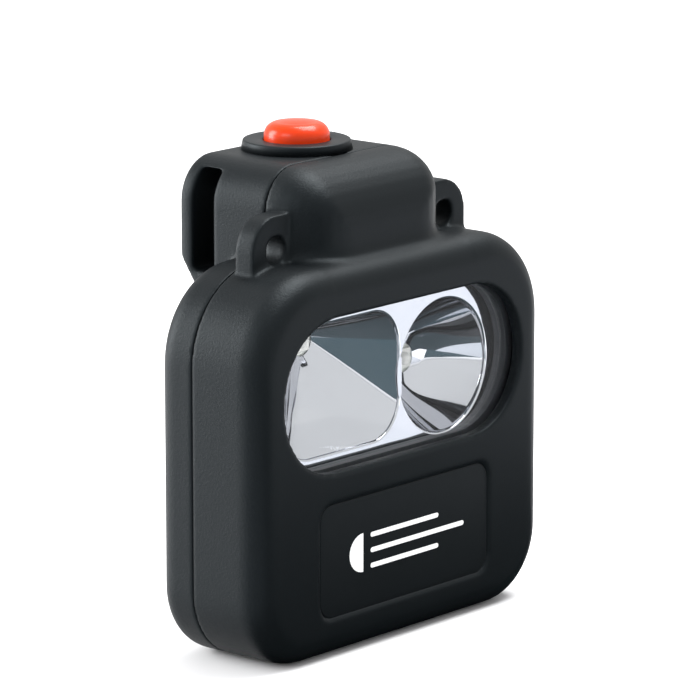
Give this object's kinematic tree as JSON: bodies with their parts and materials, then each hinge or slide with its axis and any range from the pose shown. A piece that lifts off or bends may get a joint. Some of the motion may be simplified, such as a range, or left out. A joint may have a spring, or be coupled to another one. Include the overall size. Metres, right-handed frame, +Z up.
{
  "type": "miner's cap lamp",
  "caption": "Compact cap lamp with twin reflector behind a clear window, push button on top, lanyard ears and a strap slot.",
  "frame": {"origin": "middle of the bounding box in plan, on the flat bottom face", "axes": "+X to the right seen from the front, +Y to the rear, +Z up"},
  "size_m": [0.077, 0.0346, 0.0877],
  "materials": {
    "shell": "fine spark-eroded grain on the sides, smoother front",
    "shell_rear": "fine spark-eroded grain",
    "seal": "matte",
    "gasket": "grey, satin",
    "window": "clear, polished",
    "reflector": "vacuum-metallised, bright",
    "white_board": "white solder mask",
    "phosphor": "yellow phosphor under a clear dome",
    "spreader": "sheet",
    "steel": "plated",
    "green_board": "green solder mask",
    "brass": "turned",
    "components": "moulded",
    "cell_wrap": "shrink sleeve",
    "foam": "soft foam",
    "lead_red": "insulated wire",
    "plug": "natural nylon",
    "ring": "satin",
    "button": "glossy silicone",
    "label": "smooth inlay"
  },
  "bodies": {
    "case": {"front_housing": "shell", "rear_cover": "shell_rear", "housing_seal": "seal", "window": "window", "window_gasket": "gasket", "reflector": "reflector", "led_board": "white_board", "spot_led": "phosphor", "flood_led": "phosphor", "heat_spreader": "spreader", "board_screws": "steel", "control_board": "green_board", "board_spacers": "brass", "board_components": "components", "battery_cell": "cell_wrap", "protection_board": "green_board", "battery_pad": "foam", "battery_leads": "lead_red", "battery_plug": "plug", "switch_board": "green_board", "switch_body": "components", "switch_leads": "lead_red", "return_spring": "steel", "button_ring": "ring", "button_seal": "seal", "screw_inserts": "brass", "housing_screws": "steel", "charge_contacts": "brass", "contact_seals": "seal", "label_plate": "label"},
    "button": {"button_cap": "button", "switch_plunger": "plug"}
  },
  "joints": [
    {"name": "button_press", "type": "slide", "parent": "case", "child": "button", "axis": [0, 0, -1], "range_m": [0, 0.0012], "stiffness_N_per_m": 900, "deforming": ["return_spring"]}
  ]
}
